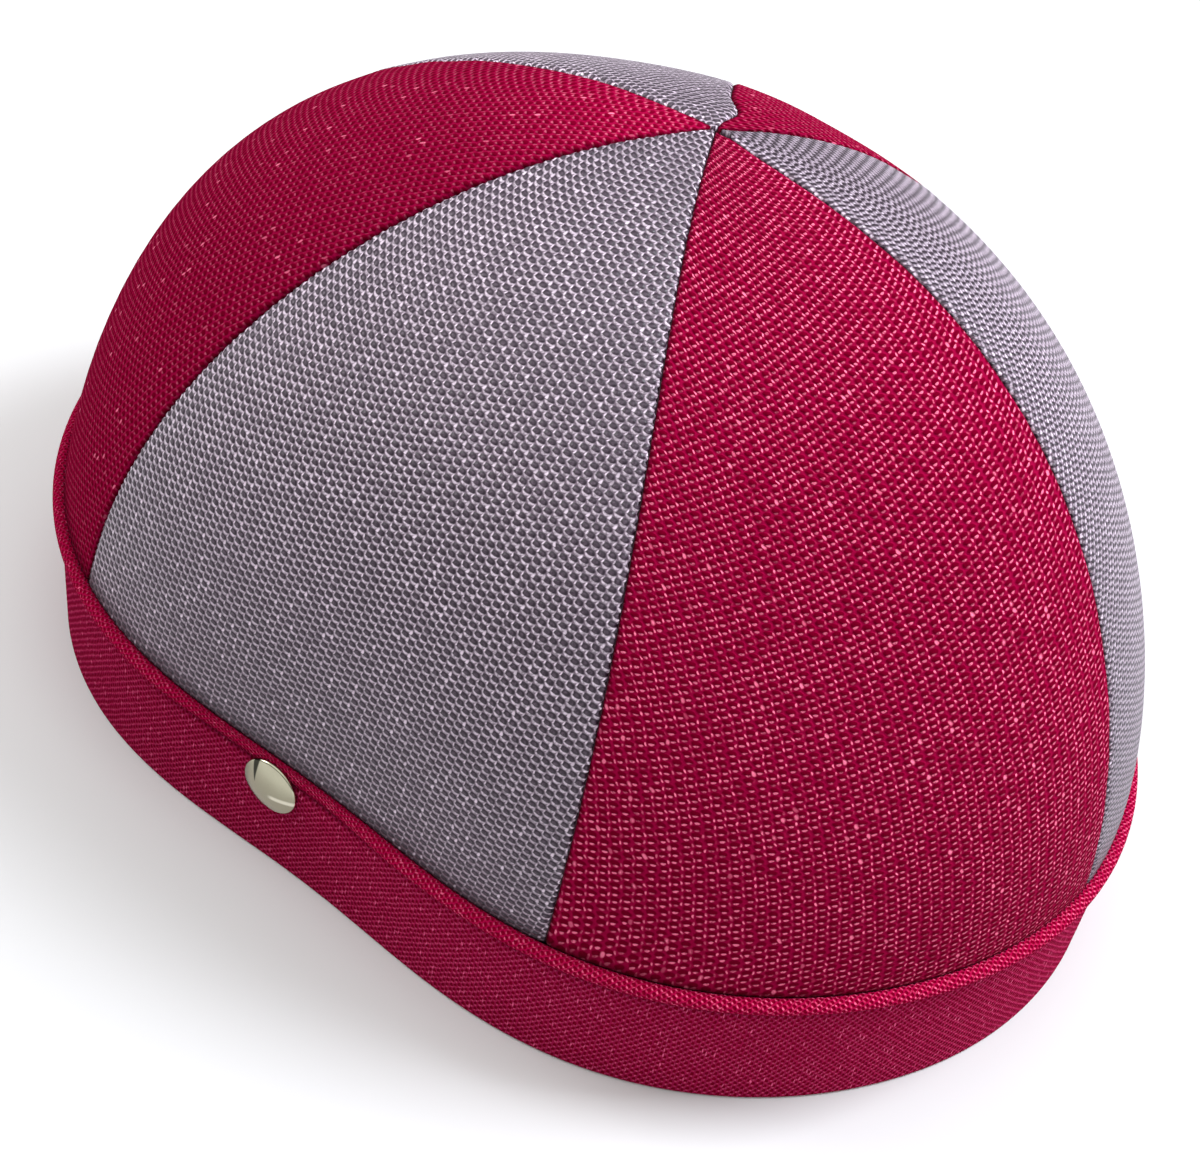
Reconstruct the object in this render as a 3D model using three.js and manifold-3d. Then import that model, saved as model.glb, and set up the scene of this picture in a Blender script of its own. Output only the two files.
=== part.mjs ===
// A jockey's cap: six sewn gores over a hollow oval crown, a deep band whose top edge is
// folded into a roll, and a metal snap through the band on each side.
// Millimetres, +Z up. The front of the cap faces -Y, and the wearer's right is -X.
// The origin is on the surface that the cap stands on, under the middle of the cap.
import * as THREE from "three";
import { mergeVertices } from "three/addons/utils/BufferGeometryUtils.js";
import Module from "manifold-3d";

// The oval outline of the crown where the band begins.
const CROWN_LENGTH = 250;
const CROWN_WIDTH = 183.4;
const CROWN_HEIGHT = 111.8;
const CROWN_WALL = 1.6;
// How much wider the outline is behind its middle than in front of it, as a share.
const EGG_SHARE = 0.03;
// How far the outline is filled out towards its four shoulders, at the band and at the top.
const SHOULDER_SHARE_AT_BAND = 0.086;
const SHOULDER_SHARE_AT_TOP = -0.055;
// How far the middle of each gore is drawn flat between its two seams, as a share.
const FLAT_GORE_SHARE = 0.0136;
// The top of the crown lies this far forward of the middle of the outline.
const TOP_FORWARD = 3.4;
// The gores leave a small hole where they meet at the top.
const TOP_HOLE_RADIUS = 0.9;
// The crown rises so that radius^spread + height^rise = 1, both as shares.
const CROWN_PROFILES = {
  front: { spread: 2.9, rise: 1.36 },
  side: { spread: 1.95, rise: 2.14 },
  back: { spread: 1.7, rise: 2.29 },
};

// The band is highest at the back and lowest at the two sides.
const BAND_HEIGHT = 32;
const BAND_RISE_TO_BACK = 2.2;
const BAND_RISE_TO_ENDS = 2.1;
const BAND_WALL = 1.6;
const BAND_FOLD_RADIUS = 0.5;
// The bottom edge of the band stands this far forward of its top edge.
const BAND_FORWARD_LEAN = 1.35;

// The roll along the top of the band, whose middle lies outside the crown's outline.
const ROLL_RADIUS = 1.6;
const ROLL_OUTSIDE = 0.9;
// A snap presses the roll flat for this length past its edge, and the roll grows back after it.
const ROLL_FLAT_MARGIN = 3;
const ROLL_GROWTH = 25;

// The gaps that keep neighbouring pieces apart.
const SEAM_GAP = 0.3;
const FIT_GAP = 0.3;

// A snap has a domed cap outside the band, a post through it and a hidden flange inside.
const SNAP_RADIUS = 6.5;
const SNAP_DOME = 1.9;
const SNAP_RIM = 0.5;
const SNAP_BELOW_EDGE = 0.7;
const SNAP_BACK_OF_SIDE = 10;
const SNAP_POST_RADIUS = 1.7;
const SNAP_FLANGE = 0.8;
// The flange's edge lies this far inside the edge of the cap.
const SNAP_FLANGE_INSET = 2.5;

// Mesh divisions.
const GORE_COLUMNS = 10;
const CROWN_ROWS = 16;
const HEM_ROWS = 2;
const BAND_COLUMNS = 132;
const ROLL_STEPS = 8;
const FOLD_STEPS = 2;
const SNAP_SIDES = 28;
const DOME_STEPS = 5;
const OUTLINE_STEPS = 1440;

const DEGREE = Math.PI / 180;
const TURN = 2 * Math.PI;

const MAGENTA = new THREE.Color(0.6, 0.012, 0.09);
const LAVENDER = new THREE.Color(0.4, 0.35, 0.42);
const NICKEL = new THREE.Color(0.72, 0.71, 0.64);
const cloth = (color) => new THREE.MeshStandardMaterial({ color, roughness: 0.6, metalness: 0 });
const magentaCloth = cloth(MAGENTA);
const lavenderCloth = cloth(LAVENDER);
const snapMetal = new THREE.MeshStandardMaterial({ color: NICKEL, roughness: 0.2, metalness: 1 });

// The gores, anticlockwise seen from above, each starting at the seam of its own row.
// at is the seam's place along the outline, lean moves it at the band, and bow bends it
// halfway up, all in degrees.
const GORES = [
  { name: "gore_right", material: lavenderCloth, at: 149, lean: -2.9, bow: -0.6 },
  { name: "gore_front_right", material: magentaCloth, at: 209, lean: 0.5, bow: 2.7 },
  { name: "gore_front_left", material: lavenderCloth, at: 269, lean: 1.3, bow: 2.5 },
  { name: "gore_left", material: magentaCloth, at: 329, lean: 0, bow: 0 },
  { name: "gore_back_left", material: lavenderCloth, at: 389, lean: 0, bow: 0 },
  { name: "gore_back_right", material: magentaCloth, at: 449, lean: 0, bow: 0 },
];
// All the seams are turned by this angle where they meet at the top.
const SEAM_TWIST_DEGREES = -4.7;

const SIDES = ["right", "left"];

const { lerp, clamp, smoothstep } = THREE.MathUtils;

// The crown's outline at a direction psi, anticlockwise from +X, with its shoulders filled
// out by a share.
function outline(psi, shoulderShare = SHOULDER_SHARE_AT_BAND) {
  const halfWidth = (CROWN_WIDTH / 2) * (1 + EGG_SHARE * Math.sin(psi));
  const oval = 1 / Math.hypot(Math.cos(psi) / halfWidth, Math.sin(psi) / (CROWN_LENGTH / 2));
  const shoulders = 1 + shoulderShare * Math.sin(2 * psi) ** 2;
  const flatGores = 1 - (FLAT_GORE_SHARE * (1 + Math.cos(GORES.length * psi))) / 2;
  const radius = oval * shoulders * flatGores;
  return new THREE.Vector2(radius * Math.cos(psi), radius * Math.sin(psi));
}

// The level direction that points out of the outline.
function outlineNormal(psi) {
  const step = 0.001;
  const along = outline(psi + step).sub(outline(psi - step));
  return new THREE.Vector2(along.y, -along.x).normalize();
}

// A point that stands an offset outside the outline, at a height.
function besideOutline(psi, offset, height) {
  const place = outline(psi).addScaledVector(outlineNormal(psi), offset);
  return new THREE.Vector3(place.x, place.y, height);
}

// The direction at which a share of the outline's length has passed, starting from +X.
const outlineLengths = [0];
for (let step = 1; step <= OUTLINE_STEPS; step++) {
  const here = outline((step / OUTLINE_STEPS) * TURN);
  const before = outline(((step - 1) / OUTLINE_STEPS) * TURN);
  outlineLengths.push(outlineLengths[step - 1] + here.distanceTo(before));
}
function directionAtShare(share) {
  const turns = Math.floor(share);
  const wanted = (share - turns) * outlineLengths[OUTLINE_STEPS];
  const next = outlineLengths.findIndex((length) => length > wanted);
  const into = (wanted - outlineLengths[next - 1]) / (outlineLengths[next] - outlineLengths[next - 1]);
  return (turns + (next - 1 + into) / OUTLINE_STEPS) * TURN;
}

// The height of the band's top edge.
function bandTop(psi) {
  return BAND_HEIGHT + BAND_RISE_TO_BACK * Math.sin(psi) - BAND_RISE_TO_ENDS * Math.cos(2 * psi);
}

// How far the lean has moved the band in at a height, against its top edge.
function bandDrift(psi, height) {
  return BAND_FORWARD_LEAN * Math.sin(psi) * (1 - height / bandTop(psi));
}

// A profile exponent at a direction, between the front, side and back profiles.
function profileAt(psi, key) {
  const { front, side, back } = CROWN_PROFILES;
  const backShare = Math.max(0, Math.sin(psi)) ** 2;
  const frontShare = Math.max(0, -Math.sin(psi)) ** 2;
  return side[key] + backShare * (back[key] - side[key]) + frontShare * (front[key] - side[key]);
}

// The crown's radius at a way, as a share of its outline. The way runs from 0 at the top of
// the crown to 1 at its hem.
function radiusShare(psi, way) {
  return Math.sin((clamp(way, 0, 1) * Math.PI) / 2) ** (2 / profileAt(psi, "spread"));
}
const TOP_WAY =
  (2 / Math.PI) * Math.asin((TOP_HOLE_RADIUS / (CROWN_WIDTH / 2)) ** (CROWN_PROFILES.side.spread / 2));

// The hem curls round the roll, from where it leaves the crown's outline to the roll's inside.
const HEM_RADIUS = ROLL_RADIUS + FIT_GAP;
const HEM_START = Math.acos(-ROLL_OUTSIDE / HEM_RADIUS);

// The crown's outer surface. Past way 1 comes the hem, which ends at way 2.
function crownPoint(psi, way) {
  const rollHeight = bandTop(psi) - ROLL_RADIUS;
  if (way > 1) {
    const angle = lerp(HEM_START, Math.PI, way - 1);
    const height = rollHeight + HEM_RADIUS * Math.sin(angle);
    const offset = ROLL_OUTSIDE + HEM_RADIUS * Math.cos(angle);
    return besideOutline(psi, offset - bandDrift(psi, height), height);
  }
  const heightShare = Math.max(0, Math.cos((way * Math.PI) / 2)) ** (2 / profileAt(psi, "rise"));
  const shoulderShare = lerp(SHOULDER_SHARE_AT_BAND, SHOULDER_SHARE_AT_TOP, heightShare);
  const place = outline(psi, shoulderShare).multiplyScalar(radiusShare(psi, way));
  const foot = rollHeight + HEM_RADIUS * Math.sin(HEM_START);
  const height = lerp(foot, BAND_HEIGHT + CROWN_HEIGHT, heightShare);
  return new THREE.Vector3(place.x, place.y - TOP_FORWARD * heightShare, height);
}

// A point in the crown's wall, at a depth under its outer surface.
function crownWallPoint(psi, way, depth) {
  const step = 0.002;
  const across = crownPoint(psi + step, way).sub(crownPoint(psi - step, way));
  const down = crownPoint(psi, way + step).sub(crownPoint(psi, Math.max(way - step, 0)));
  const inward = across.cross(down).normalize();
  return crownPoint(psi, way).addScaledVector(inward, depth);
}

// The direction of a seam on its way from the top to the band.
function seamDirection(index, way) {
  const { at, lean, bow } = GORES[index % GORES.length];
  const laps = Math.floor(index / GORES.length);
  const onCrown = clamp(way, 0, 1);
  const atBand = directionAtShare((at + lean) / 360 + laps);
  const atTop = (at + SEAM_TWIST_DEGREES) * DEGREE + laps * TURN;
  return lerp(atTop, atBand, onCrown) + bow * DEGREE * Math.sin(Math.PI * onCrown);
}

// Moves each vertex of a geometry to the point that a function gives for it.
function reshape(geometry, place) {
  const position = geometry.attributes.position;
  for (let i = 0; i < position.count; i++) {
    const to = place(new THREE.Vector3().fromBufferAttribute(position, i));
    position.setXYZ(i, to.x, to.y, to.z);
  }
  geometry.computeVertexNormals();
  return geometry;
}

// The way at a row of a gore: rows run from the end of the hem up to the top of the crown.
function wayAtRow(row) {
  if (row < HEM_ROWS) return 2 - row / HEM_ROWS;
  return lerp(1, TOP_WAY, (row - HEM_ROWS) / CROWN_ROWS);
}

// One gore, from a box whose width runs from seam to seam, whose height runs from the hem
// to the top, and whose depth runs through the wall.
function gore(index) {
  const rows = HEM_ROWS + CROWN_ROWS;
  const box = new THREE.BoxGeometry(1, 1, 1, GORE_COLUMNS, rows, 1);
  return reshape(box, ({ x, y, z }) => {
    const way = wayAtRow((y + 0.5) * rows);
    const first = seamDirection(index, way);
    const last = seamDirection(index + 1, way);
    const middle = (first + last) / 2;
    const halfGap = SEAM_GAP / 2 / (outline(middle).length() * radiusShare(middle, way));
    const psi = lerp(first + halfGap, last - halfGap, x + 0.5);
    return crownWallPoint(psi, way, (0.5 - z) * CROWN_WALL);
  });
}

// The band's two faces, as offsets from the crown's outline. The inner one touches the roll.
const BAND_INSIDE = ROLL_OUTSIDE - ROLL_RADIUS;
const BAND_FACE = BAND_INSIDE + BAND_WALL;

// The snaps stand on the band's face, mirrored about the middle of the cap.
function snapPlace(side) {
  const rightward = Math.PI - Math.asin(SNAP_BACK_OF_SIDE / (CROWN_WIDTH / 2));
  const psi = side === "right" ? rightward : Math.PI - rightward;
  const height = bandTop(psi) - SNAP_BELOW_EDGE - SNAP_RADIUS;
  const origin = besideOutline(psi, BAND_FACE - bandDrift(psi, height), height);
  const { x, y } = outlineNormal(psi);
  return { psi, origin, normal: new THREE.Vector3(x, y, 0) };
}
const snapPlaces = Object.fromEntries(SIDES.map((side) => [side, snapPlace(side)]));

// How far the roll stands out at a direction, as a share: nothing where a snap presses it.
function rollShare(psi) {
  const here = outline(psi);
  const distances = SIDES.map((side) => here.distanceTo(outline(snapPlaces[side].psi)));
  const pastSnap = Math.min(...distances) - SNAP_RADIUS - ROLL_FLAT_MARGIN;
  return smoothstep(pastSnap, 0, ROLL_GROWTH);
}

// The points of an arc, each as an offset from the crown's outline and a height.
function arc(centre, radius, from, to, steps) {
  return Array.from({ length: steps + 1 }, (_, i) => {
    const angle = lerp(from, to, i / steps);
    return new THREE.Vector2(radius * Math.cos(angle), radius * Math.sin(angle)).add(centre);
  });
}

// The band's section: over the roll, down the face and round the folded bottom edge.
function bandSection() {
  const rollCentre = new THREE.Vector2(ROLL_OUTSIDE, BAND_HEIGHT - ROLL_RADIUS);
  const outerFold = new THREE.Vector2(BAND_FACE - BAND_FOLD_RADIUS, BAND_FOLD_RADIUS);
  const innerFold = new THREE.Vector2(BAND_INSIDE + BAND_FOLD_RADIUS, BAND_FOLD_RADIUS);
  const rollEnd = -Math.acos((BAND_FACE - ROLL_OUTSIDE) / ROLL_RADIUS);
  const overRoll = arc(rollCentre, ROLL_RADIUS, Math.PI, rollEnd, ROLL_STEPS);
  const underFace = arc(outerFold, BAND_FOLD_RADIUS, 0, -Math.PI / 2, FOLD_STEPS);
  const underInside = arc(innerFold, BAND_FOLD_RADIUS, -Math.PI / 2, -Math.PI, FOLD_STEPS);
  return [...overRoll, ...underFace, ...underInside, overRoll[0].clone()];
}

// The section turned into a round ring, which is then drawn on to the crown's outline.
function band() {
  const ringRadius = CROWN_WIDTH / 2;
  const section = bandSection().reverse();
  section.forEach((point) => (point.x += ringRadius));
  const ring = new THREE.LatheGeometry(section, BAND_COLUMNS).rotateX(Math.PI / 2);
  return reshape(ring, ({ x, y, z }) => {
    const psi = Math.atan2(y, x);
    const height = z < BAND_HEIGHT / 2 ? z : z + bandTop(psi) - BAND_HEIGHT;
    const onRing = Math.hypot(x, y) - ringRadius;
    const pressedIn = Math.max(0, onRing - BAND_FACE) * (1 - rollShare(psi));
    return besideOutline(psi, onRing - pressedIn - bandDrift(psi, height), height);
  });
}

// One snap, turned about its own +Z axis, with the band's face at height 0.
function snap() {
  const flangeRadius = SNAP_RADIUS - SNAP_FLANGE_INSET;
  const flangeTop = -BAND_WALL - FIT_GAP;
  const rimTop = FIT_GAP + SNAP_RIM;
  const profile = [
    new THREE.Vector2(0, flangeTop - SNAP_FLANGE),
    new THREE.Vector2(flangeRadius, flangeTop - SNAP_FLANGE),
    new THREE.Vector2(flangeRadius, flangeTop),
    new THREE.Vector2(SNAP_POST_RADIUS, flangeTop),
    new THREE.Vector2(SNAP_POST_RADIUS, FIT_GAP),
    new THREE.Vector2(SNAP_RADIUS - SNAP_RIM, FIT_GAP),
  ];
  for (let step = 0; step < DOME_STEPS; step++) {
    const angle = ((step / DOME_STEPS) * Math.PI) / 2;
    const radius = SNAP_RADIUS * Math.cos(angle);
    profile.push(new THREE.Vector2(radius, rimTop + (SNAP_DOME - SNAP_RIM) * Math.sin(angle)));
  }
  profile.push(new THREE.Vector2(0, FIT_GAP + SNAP_DOME));
  return new THREE.LatheGeometry(profile, SNAP_SIDES).rotateX(Math.PI / 2);
}

// Stands an object made along +Z on the band's face at a snap's place.
function standOnBand(object, { origin, normal }) {
  object.position.copy(origin);
  object.quaternion.setFromUnitVectors(new THREE.Vector3(0, 0, 1), normal);
  object.updateMatrix();
  return object;
}

// Boolean cuts, by manifold-3d.
const wasm = await Module();
wasm.setup();

function toSolid(geometry) {
  const bare = geometry.clone();
  bare.deleteAttribute("normal");
  bare.deleteAttribute("uv");
  const merged = mergeVertices(bare);
  const vertProperties = new Float32Array(merged.attributes.position.array);
  const triVerts = new Uint32Array(merged.index.array);
  return new wasm.Manifold(new wasm.Mesh({ numProp: 3, vertProperties, triVerts }));
}

function fromSolid(solid) {
  const { vertProperties, triVerts } = solid.getMesh();
  const geometry = new THREE.BufferGeometry();
  geometry.setAttribute("position", new THREE.BufferAttribute(vertProperties, 3));
  geometry.setIndex(new THREE.BufferAttribute(triVerts, 1));
  geometry.computeVertexNormals();
  return geometry;
}

// The band with a round hole for the post of each snap.
function drilledBand() {
  const holeRadius = SNAP_POST_RADIUS + FIT_GAP;
  const drillLength = 4 * BAND_WALL;
  let solid = toSolid(band());
  for (const side of SIDES) {
    const { matrix } = standOnBand(new THREE.Object3D(), snapPlaces[side]);
    const drill = new THREE.CylinderGeometry(holeRadius, holeRadius, drillLength, SNAP_SIDES);
    solid = solid.subtract(toSolid(drill.rotateX(Math.PI / 2).applyMatrix4(matrix)));
  }
  return fromSolid(solid);
}

function piece(name, geometry, material) {
  const mesh = new THREE.Mesh(geometry, material);
  mesh.name = name;
  return mesh;
}

const crown = new THREE.Group();
GORES.forEach(({ name, material }, index) => crown.add(piece(name, gore(index), material)));

const snaps = new THREE.Group();
SIDES.forEach((side) => snaps.add(standOnBand(piece("snap_" + side, snap(), snapMetal), snapPlaces[side])));

const cap = new THREE.Group();
cap.add(crown, piece("band", drilledBand(), magentaCloth), snaps);

export default cap;
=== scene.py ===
"""A jockey's cap in mesh cloth: six sewn gores, a deep band with a rolled top edge, and snaps.

Lengths are in millimetres, and become metres where a mesh is made. The front faces -Y, and the
wearer's right is -X.
"""
import math

import bpy
import numpy as np
from mathutils import Matrix, Vector


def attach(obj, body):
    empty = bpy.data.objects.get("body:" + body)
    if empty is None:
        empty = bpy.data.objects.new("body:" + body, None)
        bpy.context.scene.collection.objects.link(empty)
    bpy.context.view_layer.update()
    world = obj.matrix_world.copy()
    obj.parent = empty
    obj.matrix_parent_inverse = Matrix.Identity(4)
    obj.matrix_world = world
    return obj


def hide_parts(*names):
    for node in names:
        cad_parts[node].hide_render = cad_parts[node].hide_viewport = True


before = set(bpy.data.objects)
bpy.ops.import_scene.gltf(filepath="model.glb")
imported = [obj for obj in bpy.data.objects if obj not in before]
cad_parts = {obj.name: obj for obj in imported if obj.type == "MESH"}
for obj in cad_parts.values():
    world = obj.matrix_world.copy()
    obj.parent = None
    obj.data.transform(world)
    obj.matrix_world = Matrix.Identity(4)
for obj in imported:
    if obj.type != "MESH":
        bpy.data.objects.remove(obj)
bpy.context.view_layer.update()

METRES = 0.001
DEGREE = math.pi / 180
TURN = 2 * math.pi

# The crown's outline where the band begins, and its rise.
CROWN_LENGTH = 250
CROWN_WIDTH = 183.4
CROWN_HEIGHT = 111.8
CROWN_WALL = 1.6
EGG_SHARE = 0.03
SHOULDER_SHARE_AT_BAND = 0.086
SHOULDER_SHARE_AT_TOP = -0.055
FLAT_GORE_SHARE = 0.0136
TOP_FORWARD = 3.4
TOP_HOLE_RADIUS = 0.9
# The crown rises so that radius^spread + height^rise = 1, both as shares.
CROWN_PROFILES = {
    "front": {"spread": 2.9, "rise": 1.36},
    "side": {"spread": 1.95, "rise": 2.14},
    "back": {"spread": 1.7, "rise": 2.29},
}

# The band and the roll along its top.
BAND_HEIGHT = 32
BAND_RISE_TO_BACK = 2.2
BAND_RISE_TO_ENDS = 2.1
BAND_WALL = 1.6
BAND_FORWARD_LEAN = 1.35
ROLL_RADIUS = 1.6
ROLL_OUTSIDE = 0.9
ROLL_FLAT_MARGIN = 3
ROLL_GROWTH = 25
FIT_GAP = 0.3

# The snaps.
SNAP_RADIUS = 6.5
SNAP_DOME = 1.9
SNAP_RIM = 0.5
SNAP_BELOW_EDGE = 0.7
SNAP_BACK_OF_SIDE = 10
SNAP_POST_RADIUS = 1.7
SNAP_FLANGE = 0.8
SNAP_FLANGE_INSET = 2.5

# The gores, anticlockwise seen from above, each starting at the seam of its own row. Every other gore
# is lavender. Angles are in degrees:
# - at is the direction of the seam, and lean how far the seam's foot stands from it
# - bow and kink are how far the seam turns aside halfway down and just below the top
# - grain is how far the cloth's rows climb to the right, halfway up the gore
# Lengths are in millimetres:
# - gap is how far magenta cloth stays from the seam
# - tip is how far the gore stays from the crown's middle
GORE_FIELDS = ("name", "at", "lean", "bow", "kink", "grain", "gap", "tip")
GORE_TABLE = [
    ("gore_right", 149, -2.9, -0.6, 0, -3, 0.05, 0.9),
    ("gore_front_right", 209, 0.5, 2.7, 0, 21, 0.05, 1.9),
    ("gore_front_left", 269, 1.3, 2.5, 0, -40, 0.0, 2.4),
    ("gore_left", 329, 0, 0, 0, -8, 0.05, 0.9),
    ("gore_back_left", 389, 0, 0, -15, 4, 0.1, 0.9),
    ("gore_back_right", 449, 0, 0, 0, 0, 0.05, 1.4),
]
GORES = [dict(zip(GORE_FIELDS, row)) for row in GORE_TABLE]
GORE_SPAN = 360 / len(GORES)
SEAM_TWIST_DEGREES = -4.7
KINK_WAY = 0.064
KINK_REACH = 0.045

# Painted light and shade on the gores' cloth at the top, halfway down and at the hem: darker at the
# top and the hem, and some gores lighter or darker as the light falls on them.
CLOTH_PAINTED_SHADE = (0.86, 1.0, 0.86)
GORE_PAINTED_LIGHT_AND_SHADE = {"gore_front_right": (0.93, 1.07, 0.92), "gore_back_right": (1.12, 0.85, 0.78)}
# Painted light: the band is lightest at this direction, in degrees, as if lit from there, and darkest
# opposite.
BAND_PAINTED_LIGHT_DIRECTION = 310
BAND_PAINTED_LIGHT_STRENGTH = 0.16

# The knit repeats after this much across and this much up, with a second stitch in its middle.
KNIT_WIDTH = 3.4
KNIT_HEIGHT = 1.66
# In the front left gore the stitches stand closer, and more nearly side by side.
RIBBED_KNIT_WIDTH = 2.5
RIBBED_KNIT_HEIGHT = 1.4
# In the front right gore the cloth is drawn sideways, and its rows climb more and more steeply.
DRAWN_KNIT_WIDTH = 4.3
DRAWN_KNIT_HEIGHT = 1.34
DRAWN_BEND = 0.0029

# The camera stands where the photograph was taken from. It is turned and moved in its own plane.
CAMERA_AZIMUTH = -61.04
CAMERA_ELEVATION = 41.94
CAMERA_ROLL = 13.0
CAMERA_DISTANCE = 402.6
CAMERA_AIM_HEIGHT = 72.0
CAMERA_RIGHT = -6.78
CAMERA_UP = -32.01
CAMERA_LENS = 57.71
CAMERA_SENSOR = 36


def lerp(a, b, share):
    return a + (b - a) * share


def smooth(value, low, high):
    share = np.clip((value - low) / (high - low), 0, 1)
    return share * share * (3 - 2 * share)


# The shapes of the crown and band, as functions of the direction psi, anticlockwise from +X.
def outline(psi, shoulder_share=SHOULDER_SHARE_AT_BAND):
    half_width = CROWN_WIDTH / 2 * (1 + EGG_SHARE * np.sin(psi))
    oval = 1 / np.hypot(np.cos(psi) / half_width, np.sin(psi) / (CROWN_LENGTH / 2))
    shoulders = 1 + shoulder_share * np.sin(2 * psi) ** 2
    flat_gores = 1 - FLAT_GORE_SHARE * (1 + np.cos(len(GORES) * psi)) / 2
    radius = oval * shoulders * flat_gores
    return np.stack([radius * np.cos(psi), radius * np.sin(psi)], -1)


def outline_normal(psi):
    step = 0.001
    along = outline(psi + step) - outline(psi - step)
    normal = np.stack([along[..., 1], -along[..., 0]], -1)
    return normal / np.linalg.norm(normal, axis=-1, keepdims=True)


def beside_outline(psi, offset, height):
    place = outline(psi) + outline_normal(psi) * np.asarray(offset)[..., None]
    return np.concatenate([place, np.broadcast_to(height, psi.shape)[..., None]], -1)


OUTLINE_DIRECTIONS = np.linspace(0, TURN, 2881)
OUTLINE_STEPS = np.linalg.norm(np.diff(outline(OUTLINE_DIRECTIONS), axis=0), axis=1)
OUTLINE_LENGTHS = np.concatenate([[0], np.cumsum(OUTLINE_STEPS)])


def direction_at_share(share):
    turns = math.floor(share)
    wanted = (share - turns) * OUTLINE_LENGTHS[-1]
    return turns * TURN + np.interp(wanted, OUTLINE_LENGTHS, OUTLINE_DIRECTIONS)


def length_at_direction(psi):
    turns = np.floor(psi / TURN)
    rest = np.interp(psi - turns * TURN, OUTLINE_DIRECTIONS, OUTLINE_LENGTHS)
    return turns * OUTLINE_LENGTHS[-1] + rest


def band_top(psi):
    return BAND_HEIGHT + BAND_RISE_TO_BACK * np.sin(psi) - BAND_RISE_TO_ENDS * np.cos(2 * psi)


def band_drift(psi, height):
    return BAND_FORWARD_LEAN * np.sin(psi) * (1 - height / band_top(psi))


def profile_at(psi, key):
    front, side, back = (CROWN_PROFILES[name][key] for name in ("front", "side", "back"))
    back_share = np.maximum(0, np.sin(psi)) ** 2
    front_share = np.maximum(0, -np.sin(psi)) ** 2
    return side + back_share * (back - side) + front_share * (front - side)


def radius_share(psi, way):
    return np.sin(np.clip(way, 0, 1) * math.pi / 2) ** (2 / profile_at(psi, "spread"))


def way_at_radius(psi, radius):
    """The way where the crown is this far from its middle."""
    share = radius / np.linalg.norm(outline(psi, SHOULDER_SHARE_AT_TOP), axis=-1)
    return 2 / math.pi * np.arcsin(share ** (profile_at(psi, "spread") / 2))


HEM_RADIUS = ROLL_RADIUS + FIT_GAP
HEM_START = math.acos(-ROLL_OUTSIDE / HEM_RADIUS)


def crown_point(psi, way):
    """The crown's outer surface: way 0 is its top, 1 its foot, and 2 the end of its hem."""
    roll_height = band_top(psi) - ROLL_RADIUS
    angle = lerp(HEM_START, math.pi, np.clip(way - 1, 0, 1))
    hem_height = roll_height + HEM_RADIUS * np.sin(angle)
    hem_offset = ROLL_OUTSIDE + HEM_RADIUS * np.cos(angle) - band_drift(psi, hem_height)
    hem = beside_outline(psi, hem_offset, hem_height)

    cosine = np.clip(np.cos(np.clip(way, 0, 1) * math.pi / 2), 0, 1)
    height_share = cosine ** (2 / profile_at(psi, "rise"))
    shoulder_share = lerp(SHOULDER_SHARE_AT_BAND, SHOULDER_SHARE_AT_TOP, height_share)
    place = outline(psi, shoulder_share) * radius_share(psi, way)[..., None]
    foot = roll_height + HEM_RADIUS * math.sin(HEM_START)
    height = lerp(foot, BAND_HEIGHT + CROWN_HEIGHT, height_share)
    dome = np.stack([place[..., 0], place[..., 1] - TOP_FORWARD * height_share, height], -1)
    return np.where((way > 1)[..., None], hem, dome)


def crown_normal(psi, way):
    step = 0.002
    across = crown_point(psi + step, way) - crown_point(psi - step, way)
    down = crown_point(psi, way + step) - crown_point(psi, np.maximum(way - step, 0))
    outward = np.cross(down, across)
    return outward / np.linalg.norm(outward, axis=-1, keepdims=True)


def seam_direction(index, way):
    gore = GORES[index % len(GORES)]
    laps = index // len(GORES)
    on_crown = np.clip(way, 0, 1)
    at_band = direction_at_share((gore["at"] + gore["lean"]) / 360 + laps)
    at_top = (gore["at"] + SEAM_TWIST_DEGREES) * DEGREE + laps * TURN
    bow = gore["bow"] * np.sin(math.pi * on_crown)
    kink = gore["kink"] * np.exp(-((way - KINK_WAY) / KINK_REACH) ** 2)
    return lerp(at_top, at_band, on_crown) + (bow + kink) * DEGREE


# Meshes from grids of points.
def grid_faces(rows, columns, first=0, around=False, flip=False):
    """Squares between the points of a grid, whose columns may close into a ring."""
    steps = columns if around else columns - 1
    row, column = np.meshgrid(np.arange(rows - 1), np.arange(steps), indexing="ij")
    after = (column + 1) % columns
    here = row * columns
    below = (row + 1) * columns
    faces = np.stack([here + column, here + after, below + after, below + column], -1)
    faces = faces.reshape(-1, 4) + first
    return faces[:, ::-1] if flip else faces


def new_cloth(name, points, faces, material, knit, shade):
    """A smooth cloth piece from points in millimetres, its knit map, and how light each point is,
    mostly painted light and shade.
    """
    mesh = bpy.data.meshes.new(name)
    mesh.from_pydata((points.reshape(-1, 3) * METRES).tolist(), [], faces.tolist())
    mesh.update()
    mesh.shade_smooth()
    layer = mesh.uv_layers.new(name="knit")
    corners = np.empty(len(mesh.loops), np.int32)
    mesh.loops.foreach_get("vertex_index", corners)
    layer.data.foreach_set("uv", knit.reshape(-1, 2)[corners].astype(np.float32).ravel())
    lightness = mesh.attributes.new("shade", "FLOAT", "POINT")
    lightness.data.foreach_set("value", shade.ravel().astype(np.float32))
    mesh.materials.append(material)
    piece = bpy.data.objects.new(name, mesh)
    bpy.context.scene.collection.objects.link(piece)
    return piece


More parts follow.
